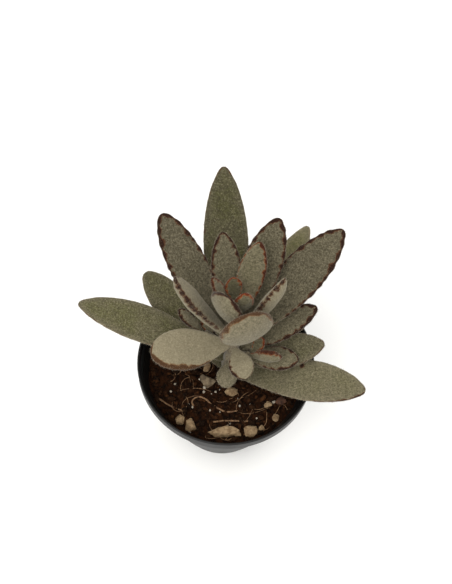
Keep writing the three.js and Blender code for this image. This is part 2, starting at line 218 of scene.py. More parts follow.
# ---------------------------------------------------------------- small tools


def smooth(known, values, wanted):
    """Values at the wanted places on a smooth curve through the known ones."""
    values = np.asarray(values, float)
    slope = np.gradient(values, known, axis=0)
    index = np.clip(np.searchsorted(known, wanted, side="right") - 1, 0, len(known) - 2)
    width = known[index + 1] - known[index]
    t = (wanted - known[index]) / width
    shape = (-1,) + (1,) * (values.ndim - 1)
    t = t.reshape(shape)
    width = width.reshape(shape)
    a = values[index]
    b = values[index + 1]
    m = slope[index] * width
    n = slope[index + 1] * width
    cube = t**3
    square = t**2
    return (
        (2 * cube - 3 * square + 1) * a
        + (cube - 2 * square + t) * m
        + (-2 * cube + 3 * square) * b
        + (cube - square) * n
    )


def ramp(values, start, length):
    """0 up to the start, then rising evenly to 1 over the length."""
    return np.clip((values - start) / length, 0, 1)


def unit(vectors):
    length = np.linalg.norm(vectors, axis=-1, keepdims=True)
    return vectors / np.maximum(length, 1e-12)


def welded(obj):
    """A mesh's distinct points, and for each the set of its neighbours."""
    mesh = obj.data
    places = np.empty(len(mesh.vertices) * 3)
    mesh.vertices.foreach_get("co", places)
    places = places.reshape(-1, 3)
    keys = np.round(places / WELD).astype(np.int64)
    _, first, same = np.unique(keys, axis=0, return_index=True, return_inverse=True)
    same = same.ravel()
    near = [set() for _ in first]
    for face in mesh.polygons:
        corners = [int(same[v]) for v in face.vertices]
        for a, b in zip(corners, corners[1:] + corners[:1]):
            if a != b:
                near[a].add(b)
                near[b].add(a)
    return places[first], near


def new_mesh(name, points, faces):
    mesh = bpy.data.meshes.new(name)
    mesh.from_pydata([tuple(p) for p in points], [], [tuple(map(int, f)) for f in faces])
    mesh.validate()
    mesh.update()
    obj = bpy.data.objects.new(name, mesh)
    bpy.context.scene.collection.objects.link(obj)
    return obj


def shade_smooth(obj):
    obj.data.polygons.foreach_set("use_smooth", [True] * len(obj.data.polygons))


def add_attribute(obj, name, values):
    """Gives every point a value that the materials can read by name."""
    layer = obj.data.attributes.new(name, "FLOAT", "POINT")
    layer.data.foreach_set("value", np.asarray(values, np.float32))


def apply_modifiers(obj):
    """Replaces an object's mesh by what its modifiers make of it."""
    graph = bpy.context.evaluated_depsgraph_get()
    shaped = bpy.data.meshes.new_from_object(obj.evaluated_get(graph))
    obj.modifiers.clear()
    obj.data = shaped


def part_of_object(obj, slot, *replaced):
    """Puts a piece on the one body, in place of any CAD nodes, which it hides. The slot is not used."""
    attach(obj, "root")
    if replaced:
        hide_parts(*replaced)


# ---------------------------------------------------------------- materials


class Paint:
    """A node material under construction."""

    def __init__(self, name, roughness):
        self.material = bpy.data.materials.new(name)
        self.material.use_nodes = True
        self.tree = self.material.node_tree
        self.surface = self.tree.nodes["Principled BSDF"]
        self.surface.inputs["Roughness"].default_value = roughness
        place = self.tree.nodes.new("ShaderNodeTexCoord")
        self.place = place.outputs["Object"]

    def link(self, source, target):
        self.tree.links.new(source, target)

    def noise(self, scale, detail=2.0, roughness=0.5):
        node = self.tree.nodes.new("ShaderNodeTexNoise")
        node.inputs["Scale"].default_value = scale
        node.inputs["Detail"].default_value = detail
        node.inputs["Roughness"].default_value = roughness
        self.link(self.place, node.inputs["Vector"])
        return node.outputs["Fac"]

    def cells(self, scale):
        node = self.tree.nodes.new("ShaderNodeTexVoronoi")
        node.inputs["Scale"].default_value = scale
        self.link(self.place, node.inputs["Vector"])
        return node.outputs["Distance"]

    def attribute(self, name):
        node = self.tree.nodes.new("ShaderNodeAttribute")
        node.attribute_name = name
        return node.outputs["Fac"]

    def math(self, operation, a, b):
        node = self.tree.nodes.new("ShaderNodeMath")
        node.operation = operation
        for socket, value in zip(node.inputs, (a, b)):
            if isinstance(value, (int, float)):
                socket.default_value = value
            else:
                self.link(value, socket)
        return node.outputs["Value"]

    def spread(self, value, low, high, to_low=0.0, to_high=1.0):
        """The value eased from to_low, where it is low, to to_high, where it is high."""
        node = self.tree.nodes.new("ShaderNodeMapRange")
        node.interpolation_type = "SMOOTHSTEP"
        node.inputs["From Min"].default_value = low
        node.inputs["From Max"].default_value = high
        node.inputs["To Min"].default_value = to_low
        node.inputs["To Max"].default_value = to_high
        self.link(value, node.inputs["Value"])
        return node.outputs["Result"]

    def mix(self, share, a, b):
        """Colour a where the share is 0 and colour b where it is 1."""
        node = self.tree.nodes.new("ShaderNodeMix")
        node.data_type = "RGBA"
        colour_a, colour_b = [s for s in node.inputs if s.type == "RGBA"]
        self.link(share, node.inputs[0])
        for socket, colour in ((colour_a, a), (colour_b, b)):
            if isinstance(colour, tuple):
                socket.default_value = (*colour, 1)
            else:
                self.link(colour, socket)
        return [s for s in node.outputs if s.type == "RGBA"][0]

    def colour(self, source):
        self.link(source, self.surface.inputs["Base Color"])

    def bump(self, height, distance, strength=1.0):
        node = self.tree.nodes.new("ShaderNodeBump")
        node.inputs["Strength"].default_value = strength
        node.inputs["Distance"].default_value = distance
        self.link(height, node.inputs["Height"])
        self.link(node.outputs["Normal"], self.surface.inputs["Normal"])


RIM_COLOURS = {  # the darkest and the palest
    "umber": ((0.018, 0.006, 0.003), (0.07, 0.028, 0.012)),
    "russet": ((0.04, 0.01, 0.004), (0.14, 0.042, 0.013)),
    "orange": ((0.095, 0.017, 0.005), (0.22, 0.062, 0.014)),
    "tan": ((0.055, 0.026, 0.011), (0.14, 0.075, 0.033)),
}
FELT = np.array((0.192, 0.166, 0.108))
LEAF_GREEN = np.array((0.115, 0.115, 0.038))
GAP_SHADE = 0.32  # how bright the gaps in the felt are against it
GAP_TINT = (1, 0.98, 0.85)
TUFT_SHADE = 2.3  # how bright its tufts are
SPECKLE_FULL = 1.9  # how strongly gaps and tufts would show in felt of no brightness
SPECKLE_FALL = 1.4  # how fast that falls as the felt gets brighter
SPECKLE_RANGE = (0.4, 1.2)
SHADES = {  # the darkest and the palest colour of everything else
    "hair": ((0.16, 0.135, 0.09), (0.42, 0.37, 0.27)),
    "plastic": ((0.0028, 0.0026, 0.0022), (0.012, 0.0098, 0.007)),
    "earth": ((0.0028, 0.0012, 0.0006), (0.024, 0.0078, 0.0022)),
    "bark_grit": ((0.004, 0.0016, 0.0006), (0.055, 0.019, 0.005)),
    "tan_grit": ((0.15, 0.088, 0.038), (0.36, 0.25, 0.135)),
    "grey_grit": ((0.1, 0.07, 0.04), (0.22, 0.165, 0.098)),
    "bark": ((0.035, 0.014, 0.007), (0.13, 0.05, 0.02)),
    "perlite": ((0.24, 0.2, 0.15), (0.5, 0.45, 0.36)),
    "dry_root": ((0.075, 0.034, 0.013), (0.26, 0.145, 0.065)),
    "stem": ((0.07, 0.054, 0.027), (0.22, 0.18, 0.11)),
    "floor": ((0.86, 0.86, 0.85), (0.9, 0.9, 0.89)),
}
BROWN_HAIR = (0.085, 0.036, 0.015)
EARTH_FIBRE = (0.062, 0.024, 0.007)
GRIT_FLECK = (0.1, 0.05, 0.022)
PAINTED_PIT_SHADE = 0.35  # how bright the painted shade in a stone's pits is against its darkest colour


def leaf_paint(name, tone, green, rim):
    """Felted skin: a green leaf seen through pale hairs, with a brown edge where rim > 0."""
    paint = Paint(name, 0.85)
    surface = paint.surface
    surface.inputs["Sheen Weight"].default_value = 0.2
    surface.inputs["Sheen Roughness"].default_value = 0.45
    surface.inputs["Sheen Tint"].default_value = (0.95, 0.92, 0.82, 1)
    surface.inputs["Specular IOR Level"].default_value = 0.1

    felt = tuple(tone * FELT)
    leaf_green = tuple(tone * LEAF_GREEN)
    dark = tuple(GAP_SHADE * tone * FELT * GAP_TINT)
    pale = tuple(TUFT_SHADE * tone * FELT)
    # Paler felt is denser, so fewer gaps and tufts show in it.
    speckle = float(np.clip(SPECKLE_FULL - SPECKLE_FALL * tone, *SPECKLE_RANGE))

    patches = paint.noise(75, 3.0)
    share = paint.spread(patches, 0.3, 0.7, 0.5 * green, green)
    inner = paint.spread(paint.attribute("inner"), 0.0, 0.8, 0.45, 1.0)
    skin = paint.mix(paint.math("MULTIPLY", share, inner), felt, leaf_green)
    grain = paint.noise(1350, 4.0, 0.75)
    gaps = paint.spread(grain, 0.33, 0.5, min(1.0, speckle), 0.0)
    skin = paint.mix(gaps, skin, dark)
    tufts = paint.spread(grain, 0.52, 0.68, 0.0, 0.6 * speckle)
    skin = paint.mix(tufts, skin, pale)
    clumps = paint.spread(paint.noise(760, 2.0, 0.6), 0.38, 0.56, 0.45 * speckle, 0.0)
    skin = paint.mix(clumps, skin, dark)
    # Paler at the very edge: denser pale hairs there, plus a painted sheen along the edge.
    fringe = paint.math("MULTIPLY", paint.attribute("edge"), 0.4)
    skin = paint.mix(fringe, skin, pale)

    deep, light = RIM_COLOURS[rim]
    ragged = paint.spread(paint.noise(600, 4.0, 0.7), 0.25, 0.75, -0.6, 0.6)
    depth = paint.math("ADD", paint.attribute("rim"), ragged)
    brown = paint.spread(depth, -0.45, 0.3)
    rim_colour = paint.mix(paint.spread(depth, 0.0, 0.8), light, deep)
    hairs = paint.spread(grain, 0.56, 0.7, 0.0, 0.2)
    rim_colour = paint.mix(hairs, rim_colour, pale)
    paint.colour(paint.mix(brown, skin, rim_colour))
    paint.bump(grain, 0.3 * MM, 0.8)
    return paint.material


def hair_paint():
    paint = Paint("felt_hairs", 0.6)
    tint = paint.spread(paint.noise(900, 2.0), 0.3, 0.7)
    pale = paint.mix(tint, *SHADES["hair"])
    paint.colour(paint.mix(paint.attribute("brown"), pale, BROWN_HAIR))
    paint.surface.inputs["Specular IOR Level"].default_value = 0.2
    return paint.material


def pot_paint():
    paint = Paint("black_plastic", 0.45)
    paint.surface.inputs["Specular IOR Level"].default_value = 0.3
    haze = paint.spread(paint.noise(160, 5.0, 0.65), 0.35, 0.75, 0.46, 0.54)
    paint.link(haze, paint.surface.inputs["Roughness"])
    dust = paint.spread(paint.noise(420, 6.0, 0.75), 0.58, 0.85, 0.0, 0.4)
    paint.colour(paint.mix(dust, *SHADES["plastic"]))
    paint.bump(paint.noise(1300, 3.0), 0.05 * MM, 0.35)
    return paint.material


def soil_paint():
    paint = Paint("potting_mix", 0.95)
    lumps = paint.noise(420, 5.0, 0.7)
    earth = paint.mix(paint.spread(lumps, 0.35, 0.65), *SHADES["earth"])
    fibre = paint.spread(paint.noise(1500, 3.0, 0.6), 0.6, 0.75, 0.0, 0.6)
    paint.colour(paint.mix(fibre, earth, EARTH_FIBRE))
    paint.surface.inputs["Specular IOR Level"].default_value = 0.08
    paint.bump(paint.noise(1100, 5.0, 0.7), 0.5 * MM, 0.9)
    return paint.material


def grit_paint():
    paint = Paint("bark_grit", 0.95)
    paint.surface.inputs["Specular IOR Level"].default_value = 0.1
    body = paint.mix(paint.attribute("tone"), *SHADES["bark_grit"])
    flecks = paint.spread(paint.noise(1800, 3.0), 0.5, 0.75, 0.0, 0.5)
    paint.colour(paint.mix(flecks, body, GRIT_FLECK))
    paint.bump(paint.noise(2400, 3.0), 0.15 * MM, 0.7)
    return paint.material


def stone_paint(name, scale=520):
    """A stone in the shades of that name, its patches smaller the larger the scale."""
    paint = Paint(name, 0.82)
    dark, light = SHADES[name]
    body = paint.mix(paint.spread(paint.noise(scale, 5.0, 0.65), 0.3, 0.7), dark, light)
    # Dark spots painted as the shade in small pits that the stone's shape doesn't have.
    painted_pit_shade = paint.spread(paint.cells(1500), 0.05, 0.3, 0.55, 0.0)
    paint.colour(paint.mix(painted_pit_shade, body, tuple(PAINTED_PIT_SHADE * c for c in dark)))
    paint.bump(paint.noise(1300, 5.0, 0.7), 0.3 * MM, 0.8)
    return paint.material


def fibre_paint():
    paint = Paint("dry_root", 0.75)
    streaks = paint.spread(paint.noise(900, 4.0, 0.6), 0.3, 0.7)
    paint.colour(paint.mix(streaks, *SHADES["dry_root"]))
    paint.bump(paint.noise(2600, 2.0), 0.1 * MM, 0.6)
    return paint.material


def stem_paint():
    paint = Paint("felted_stem", 0.9)
    paint.surface.inputs["Sheen Weight"].default_value = 0.3
    grain = paint.noise(1300, 4.0, 0.7)
    paint.colour(paint.mix(paint.spread(grain, 0.3, 0.7), *SHADES["stem"]))
    paint.bump(grain, 0.3 * MM, 0.8)
    return paint.material


# ---------------------------------------------------------------- leaves


def levels_from(start, near):
    """Points grouped by their number of steps from the start."""
    seen = {start}
    levels = [[start]]
    while True:
        ahead = sorted(set().union(*(near[p] for p in levels[-1])) - seen)
        if not ahead:
            return levels
        seen.update(ahead)
        levels.append(ahead)


def leaf_rings(obj, stem_points):
    """The CAD leaf's rings, base first, each an array of eight points, and its tip point.

    Point 0 of a ring is on one edge of the leaf, 2 is on top, 4 on the other edge, 6 below.
    The tip is the end, farthest from the stem, that the leaf counts off from in whole rings.
    """
    points, near = welded(obj)
    best = None
    for start in range(len(points)):
        if len(near[start]) != LEAF_RING_POINTS:
            continue
        levels = levels_from(start, near)
        full = [level for level in levels if len(level) == LEAF_RING_POINTS]
        if len(full) < 5 or len(levels) - len(full) > 2:
            continue
        away = np.linalg.norm(stem_points - points[start], axis=1).min()
        if best is None or away > best[0]:
            best = (away, start, full)
    if best is None:
        raise RuntimeError(f"{obj.name} is not made of rings of {LEAF_RING_POINTS} points")
    _, start, full = best
    tip = points[start]
    rings = [points[level] for level in reversed(full)]
    centres = np.array([ring.mean(0) for ring in rings])
    axes = unit(np.gradient(centres, axis=0))

    def turned(ring, axis):
        """The ring's points in order, turning by the right hand about the axis."""
        arms = ring - ring.mean(0)
        side = unit(arms[0] - axis * (arms[0] @ axis))
        other = np.cross(axis, side)
        return ring[np.argsort(np.arctan2(arms @ other, arms @ side))]

    rings = [turned(ring, axis) for ring, axis in zip(rings, axes)]
    half = LEAF_RING_POINTS // 2
    quarter = LEAF_RING_POINTS // 4
    spans = [
        [np.linalg.norm(ring[i] - ring[i + half]) for i in range(half)] for ring in rings
    ]
    widest = int(np.argmax([max(span) for span in spans]))
    edge = int(np.argmax(spans[widest]))
    ring = np.roll(rings[widest], -edge, axis=0)
    if (ring[quarter] - ring.mean(0))[2] < (ring[-quarter] - ring.mean(0))[2]:
        ring = np.roll(ring, half, axis=0)
    rings[widest] = ring

    def like(ring, model):
        """The ring started at the point that matches the model ring's first."""
        want = unit((model - model.mean(0)).ravel())
        choices = [np.roll(ring, shift, axis=0) for shift in range(LEAF_RING_POINTS)]
        return max(choices, key=lambda r: unit((r - r.mean(0)).ravel()) @ want)

    for i in range(widest + 1, len(rings)):
        rings[i] = like(rings[i], rings[i - 1])
    for i in range(widest - 1, -1, -1):
        rings[i] = like(rings[i], rings[i + 1])
    return np.array(rings), tip


def tooth_wave(distance, spacing, random):
    """A row of rounded humps from 0 to 1, unevenly spaced, by distance along an edge."""
    gone = distance / spacing
    wander = 0.9 * np.sin(gone * 1.7 + random.uniform(0, 6))
    wander += 0.5 * np.sin(gone * 3.1 + random.uniform(0, 6))
    phase = FULL_TURN * (gone + random.uniform(0, 1)) + wander
    size = 0.75 + 0.25 * np.sin(gone * 2.3 + random.uniform(0, 6))
    return size * (0.5 + 0.5 * np.cos(phase)) ** 0.9


def leaf_rows(rings, tip):
    """A leaf's length, and fine rows along it from the end of its foot, in the stem, to its tip.

    Each row has its share of the length, its centre, an arm from there to the left edge, the
    depth from its underside to its top, and the dip of its top from an even section.
    """
    quarter = LEAF_RING_POINTS // 4
    left = rings[:, 0]
    right = rings[:, 2 * quarter]
    top = rings[:, quarter]
    bottom = rings[:, 3 * quarter]
    middle = (left + right) / 2
    arm = (left - right) / 2
    depth = top - bottom
    dip = top - middle - UPPER_SHARE * depth

    line = np.vstack([middle, tip])
    gone = np.concatenate([[0], np.cumsum(np.linalg.norm(np.diff(line, axis=0), axis=1))])
    length = gone[-1]
    known = gone / length
    count = max(int(length / LEAF_STEP), LEAF_LEAST_ROWS)
    even = np.linspace(0, 1, count)
    share = (1 - (1 - even) ** TIP_CROWDING)[:-1]
    inside = np.linspace(-BASE_INSIDE / length, 0, BASE_ROWS + 1)[:-1]

    centre = smooth(known, line, share)
    last = known[-2]
    fade = np.sqrt(np.clip((1 - share) / (1 - last), 0, 1))[:, None]
    past = (share > last)[:, None]
    held = np.minimum(share, last)
    arms = smooth(known[:-1], arm, held) * np.where(past, fade, 1)
    depths = smooth(known[:-1], depth, held) * np.where(past, fade, 1)
    dips = smooth(known[:-1], dip, held) * np.where(past, fade, 1)

    foot = unit(centre[1] - centre[0])
    start = centre[0] + np.outer(inside * length, foot)
    shrink = (1 + BASE_SHRINK * inside * length / BASE_INSIDE)[:, None]
    centre = np.vstack([start, centre])
    arms = np.vstack([arms[0] * shrink, arms])
    depths = np.vstack([depths[0] * shrink, depths])
    dips = np.vstack([dips[0] * shrink, dips])
    return length, np.concatenate([inside, share]), centre, arms, depths, dips


def leaf_surface(rings, tip, style, random):
    """The fine skin as a grid of points, and the marks on it."""
    length, share, centre, arms, depths, dips = leaf_rows(rings, tip)
    along_mm = np.clip(share, 0, 1) * length / MM
    waves = [tooth_wave(along_mm, style["spacing"], random) for _ in range(2)]
    toothed = ramp(share, TEETH_START, TEETH_RISE) * ramp(1 - share, 0, TEETH_FALL)

    angle = np.linspace(0, FULL_TURN, LEAF_AROUND, endpoint=False)
    across = np.cos(angle)
    layer = np.sin(angle)
    lift = np.sign(layer) * np.abs(layer) ** SECTION_POWER
    lift = np.where(lift > 0, UPPER_SHARE * lift, (1 - UPPER_SHARE) * lift)
    near_left = np.clip(across, 0, 1) ** 6
    near_right = np.clip(-across, 0, 1) ** 6

    grid = centre[:, None, :] + arms[:, None, :] * across[None, :, None]
    grid += depths[:, None, :] * lift[None, :, None]
    grid += dips[:, None, :] * (layer**2)[None, :, None]

    bump = style["teeth"] * MM * toothed
    out = unit(arms)
    grid += out[:, None, :] * (bump * waves[0])[:, None, None] * near_left[None, :, None]
    grid -= out[:, None, :] * (bump * waves[1])[:, None, None] * near_right[None, :, None]

    up = unit(depths)
    seed = random.uniform(0, 50)
    flow = np.sin(9 * share[:, None] + seed + 1.6 * across[None, :])
    flow = flow + 0.6 * np.sin(21 * share[:, None] - 2.2 * across[None, :] + 2 * seed)
    swell = FACE_SWELL * flow * np.clip(share * 6, 0, 1)[:, None]
    grid += up[:, None, :] * swell[:, :, None]

    half_mm = np.linalg.norm(arms, axis=1) / MM
    depth_mm = np.linalg.norm(depths, axis=1) / MM
    edge_mm = half_mm[:, None] * (1 - np.abs(across))[None, :]
    edge_mm = edge_mm + 0.35 * np.abs(lift)[None, :] * depth_mm[:, None]
    return grid, *leaf_marks(grid, share, across, edge_mm, waves, style)


def leaf_marks(grid, share, across, edge_mm, waves, style):
    """Three values at each point of a leaf's skin.

    rim is how far it lies inside the brown edge, in mm. edge is 1 on the leaf's edge, and inner
    is 1 well away from it.
    """
    begins = style["starts"]
    banded = ramp(share, begins, BAND_RISE)
    spotted = ramp(share, begins - SPOTS_AHEAD, SPOTS_RISE)
    wave = np.where(across[None, :] > 0, waves[0][:, None], waves[1][:, None])
    side = np.where(across > 0, *style["sides"])[None, :]
    near_tip = ramp(share, TIP_START, TIP_RISE)[:, None] ** 2
    breadth = style["band"] * banded[:, None] * (0.7 + 0.3 * wave)
    breadth = breadth + style["spots"] * spotted[:, None] * wave
    breadth = breadth * np.maximum(side, near_tip)
    breadth = breadth + 0.6 * style["band"] * near_tip * banded[:, None]
    rim = breadth - edge_mm - 0.1
    edge = np.clip(1 - edge_mm / 0.5, 0, 1)
    inner = np.clip((edge_mm - 0.5) / 5, 0, 1)
    if "scar" in style:
        at, turn, radius = style["scar"]
        spot = grid[np.argmin(abs(share - at)), int(turn / 360 * LEAF_AROUND)]
        off_mm = np.linalg.norm(grid - spot, axis=2) / MM
        rim = np.maximum(rim, radius - off_mm)
    return rim, edge, inner


def grid_faces(rows, columns):
    """The four-cornered faces between rows of points that each close in a round."""
    faces = []
    for i in range(rows - 1):
        here = i * columns
        above = here + columns
        for j in range(columns):
            k = (j + 1) % columns
            faces.append((here + j, here + k, above + k, above + j))
    return faces


def closed_faces(rows, columns, start, end):
    """The same, with the first row closed on the start point and the last on the end point."""
    faces = grid_faces(rows, columns)
    last = (rows - 1) * columns
    for j in range(columns):
        k = (j + 1) % columns
        faces.append((k, j, start))
        faces.append((last + j, last + k, end))
    return faces


def grid_normals(grid):
    along = np.gradient(grid, axis=0)
    around = np.roll(grid, -1, axis=1) - np.roll(grid, 1, axis=1)
    return unit(np.cross(around, along))


def hairs_on(grid, rim, random):
    """Roots, directions, lengths and brownness of the hairs on a leaf's skin."""
    columns = grid.shape[1]
    normals = grid_normals(grid)
    along = unit(np.gradient(grid, axis=0))
    sides = np.linalg.norm(np.roll(grid, -1, axis=1) - grid, axis=2)[:-1]
    steps = np.linalg.norm(np.diff(grid, axis=0), axis=2)
    area = sides * steps / MM**2

    def pick(weight, count, length, browning):
        weight = weight.ravel() / weight.sum()
        cell = random.choice(weight.size, count, p=weight)
        row, column = np.divmod(cell, columns)
        beside = (column + 1) % columns
        a = random.random(count)[:, None]
        b = random.random(count)[:, None]
        near = grid[row, column] * (1 - a) + grid[row + 1, column] * a
        far = grid[row, beside] * (1 - a) + grid[row + 1, beside] * a
        root = near * (1 - b) + far * b
        lean = normals[row, column] + HAIR_LEAN * along[row, column]
        lean = unit(lean + random.normal(0, HAIR_UNRULY, (count, 3)))
        brown = browning * np.clip(rim[row, column] * 2.5, 0, 1)
        return root, lean, length * random.uniform(*HAIR_SPREAD, count), brown

    felt = pick(area, int(area.sum() * HAIRS_PER_SQUARE_MM), HAIR_LENGTH, 1.0)
    out = np.abs(np.cos(np.linspace(0, FULL_TURN, columns, endpoint=False)))
    by_edge = steps * ramp(out, FRINGE_START, 1 - FRINGE_START)[None, :]
    outline_mm = steps[:, 0].sum() * 2 / MM
    fringe = pick(by_edge, int(outline_mm * FRINGE_PER_MM), FRINGE_LENGTH, 0.1)
    return [np.concatenate(pair) for pair in zip(felt, fringe)]


def hair_mesh(name, roots, leans, lengths, brown, random):
    """Each hair is one slim three-cornered blade."""
    spin = random.normal(0, 1, leans.shape)
    side = unit(np.cross(leans, spin)) * HAIR_WIDTH / 2
    sunk = roots - leans * HAIR_ROOT
    tips = roots + leans * lengths[:, None]
    points = np.stack([sunk - side, sunk + side, tips], axis=1).reshape(-1, 3)
    piece = new_mesh(name, points, np.arange(len(points)).reshape(-1, 3))
    add_attribute(piece, "brown", np.repeat(brown, 3))
    return piece


def make_leaves():
    """Every leaf's skin, and three pieces that hold all the hairs."""
    stem_points, _ = welded(NODES["stem"])
    felt = hair_paint()
    paints = {}
    hairs = []
    for number, name in enumerate(sorted(n for n in NODES if "leaf" in n)):
        random = np.random.default_rng(LEAF_SEED + number)
        style = LEAF_STYLES[name]
        key = (style["tone"], style["green"], style["rim"])
        if key not in paints:
            paints[key] = leaf_paint(f"leaf_skin_{len(paints) + 1}", *key)
        rings, tip = leaf_rings(NODES[name], stem_points)
        grid, rim, edge, inner = leaf_surface(rings, tip, style, random)
        rows, columns, _ = grid.shape
        points = np.vstack([grid.reshape(-1, 3), tip, grid[0].mean(0)])
        faces = closed_faces(rows, columns, rows * columns + 1, rows * columns)
        leaf = new_mesh(f"{name}_skin", points, faces)
        shade_smooth(leaf)
        add_attribute(leaf, "rim", np.concatenate([rim.ravel(), [rim[-1].max(), -1]]))
        add_attribute(leaf, "edge", np.concatenate([edge.ravel(), [1, 0]]))
        add_attribute(leaf, "inner", np.concatenate([inner.ravel(), [0, 0]]))
        leaf.data.materials.append(paints[key])
        part_of_object(leaf, LEAF_SLOTS[name], name)
        hairs.append(hairs_on(grid, rim, random))
    for group in range(FELT_PIECES):
        parts = [np.concatenate(part) for part in zip(*hairs[group::FELT_PIECES])]
        random = np.random.default_rng(FELT_SEED + group)
        felt_piece = hair_mesh(f"felt_{group + 1}", *parts, random)
        felt_piece.data.materials.append(felt)
        part_of_object(felt_piece, "young_leaf")


# ---------------------------------------------------------------- pot


def pot_profile(base, lip, lip_low, top):
    """The pot's section from the middle of its underside, up its outside and down its inside."""
    neck = lip - LIP_OVERHANG
    slope = (neck - base) / lip_low

    def outside(z):
        return base + slope * z

    def corner(radius, out, height, up):
        """A point of the section, moved out and up by so many mm."""
        return (radius + out * MM, height + up * MM)

    step = lip_low * STEP_SHARE
    inner = lip - LIP_WALL
    body = np.linspace(step + 2 * MM, lip_low - 3 * MM, 12)
    inside = np.linspace(lip_low - 3 * MM, 3 * MM, 10)
    return [
        corner(0, 0, 0, FOOT_HOLLOW),
        corner(base * 0.45, 0, 0, FOOT_HOLLOW),
        corner(base * 0.5, 0, 0, 0),
        corner(base, -0.8, 0, 0),
        corner(base, -0.25, 0, 0.12),
        corner(base, 0, 0, 0.6),
        corner(outside(step), -0.05, step, 0),
        corner(outside(step), 0.35, step, 0.5),
        *[corner(outside(z), 0.3, z, 0) for z in body],
        corner(neck, 0, lip_low, -0.8),
        corner(neck, 0.25, lip_low, -0.15),
        corner(lip, -0.45, lip_low, 0),
        corner(lip, -0.1, lip_low, 0.15),
        corner(lip, 0, lip_low, 0.5),
        corner(lip, -0.1, top, -1.6),
        corner(lip, -0.02, top, -1.2),
        corner(lip, 0, top, -0.7),
        *[
            (lip - LIP_ROUND + LIP_ROUND * math.cos(turn), top - LIP_ROUND + LIP_ROUND * math.sin(turn))
            for turn in np.linspace(0, math.pi, LIP_ARC_POINTS)
        ],
        corner(inner, 0, top, -1.4),
        corner(inner, -0.1, lip_low, 1.4),
        corner(neck - POT_WALL, 0.3, lip_low, 0.5),
        corner(neck - POT_WALL, 0, lip_low, -0.6),
        *[(outside(z) - POT_WALL, z) for z in inside],
        corner(outside(POT_FLOOR) - POT_WALL, -0.6, POT_FLOOR, 0),
        (0.0, POT_FLOOR),
    ]


def make_pot():
    low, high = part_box("pot")
    points, _ = welded(NODES["pot"])
    radius = np.hypot(points[:, 0], points[:, 1])
    base = radius[points[:, 2] < low.z + 0.3 * MM].max() + 0.5 * MM
    lip = radius.max()
    lip_low = points[radius > lip - 0.1 * MM, 2].min() - 0.55 * MM
    profile = pot_profile(base, lip, lip_low, high.z)

    angle = np.linspace(0, FULL_TURN, POT_AROUND, endpoint=False)
    rows = []
    for r, z in profile[1:-1]:
        level = np.full(POT_AROUND, z)
        rows.append(np.stack([r * np.cos(angle), r * np.sin(angle), level], axis=1))
    points = np.vstack([*rows, [[0, 0, profile[0][1]], [0, 0, profile[-1][1]]]])
    under = len(rows) * POT_AROUND
    faces = closed_faces(len(rows), POT_AROUND, under, under + 1)
    pot = new_mesh("nursery_pot", points, faces)
    shaped = bmesh.new()
    shaped.from_mesh(pot.data)
    bmesh.ops.recalc_face_normals(shaped, faces=shaped.faces)
    shaped.to_mesh(pot.data)
    shaped.free()

    drills = []
    for hole in range(DRAIN_HOLES):
        angle = hole / DRAIN_HOLES * FULL_TURN
        reach = base - DRAIN_INSET
        turn = np.linspace(0, FULL_TURN, DRILL_SIDES, endpoint=False)
        x = reach * math.cos(angle) + DRAIN_RADIUS * np.cos(turn)
        y = reach * math.sin(angle) + DRAIN_RADIUS * np.sin(turn)
        ends = [np.full(DRILL_SIDES, z) for z in (DRILL_LOW, DRILL_HIGH)]
        rod = np.vstack([np.stack([x, y, end], axis=1) for end in ends])
        caps = [list(range(DRILL_SIDES))[::-1], list(range(DRILL_SIDES, 2 * DRILL_SIDES))]
        drills.append(new_mesh("drill", rod, grid_faces(2, DRILL_SIDES) + caps))
    for drill in drills:
        cut = pot.modifiers.new("hole", "BOOLEAN")
        cut.operation = "DIFFERENCE"
        cut.object = drill
    apply_modifiers(pot)
    for drill in drills:
        bpy.data.objects.remove(drill)
    shade_smooth(pot)
    pot.data.set_sharp_from_angle(angle=SHARP_ANGLE)
    pot.data.materials.clear()
    pot.data.materials.append(pot_paint())
    part_of_object(pot, "pot", "pot")


# ---------------------------------------------------------------- soil


def soil_height():
    """A function for the height of the CAD soil's top, with the cuts for stones smoothed over."""
    soil = NODES["soil"]
    tree = BVHTree.FromPolygons(
        [v.co for v in soil.data.vertices], [list(p.vertices) for p in soil.data.polygons]
    )
    _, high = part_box("soil")
    reach = high.x
    size = SOIL_SAMPLES
    axis = np.linspace(-reach, reach, size)
    heights = np.full((size, size), np.nan)
    for i, x in enumerate(axis):
        for j, y in enumerate(axis):
            hit = tree.ray_cast(Vector((x, y, high.z + 0.01)), Vector((0, 0, -1)))[0]
            if hit is not None and hit.z > high.z - SOIL_DEEPEST:
                heights[i, j] = hit.z
    heights = np.where(np.isnan(heights), np.nanmean(heights), heights)
    for _ in range(SOIL_SMOOTHINGS):
        padded = np.pad(heights, 1, mode="edge")
        shifts = [(a, b) for a in range(3) for b in range(3)]
        heights = sum(padded[a : a + size, b : b + size] for a, b in shifts) / len(shifts)

    def height(x, y):
        u = np.clip((x + reach) / (2 * reach) * (size - 1), 0, size - 1.001)
        v = np.clip((y + reach) / (2 * reach) * (size - 1), 0, size - 1.001)
        i = int(u)
        j = int(v)
        fu = u - i
        fv = v - j
        return (
            heights[i, j] * (1 - fu) * (1 - fv)
            + heights[i + 1, j] * fu * (1 - fv)
            + heights[i, j + 1] * (1 - fu) * fv
            + heights[i + 1, j + 1] * fu * fv
        )

    return height


def rough(x, y):
    """Crumbs and hollows of the potting mix, in metres."""
    crumbs = noise.fractal(Vector((x, y, 0)) * CRUMB_SCALE, 0.9, 2.1, 5) * 0.9
    hollows = noise.noise(Vector((x, y, 4)) * HOLLOW_SCALE) * 0.8
    return (crumbs + hollows) * MM


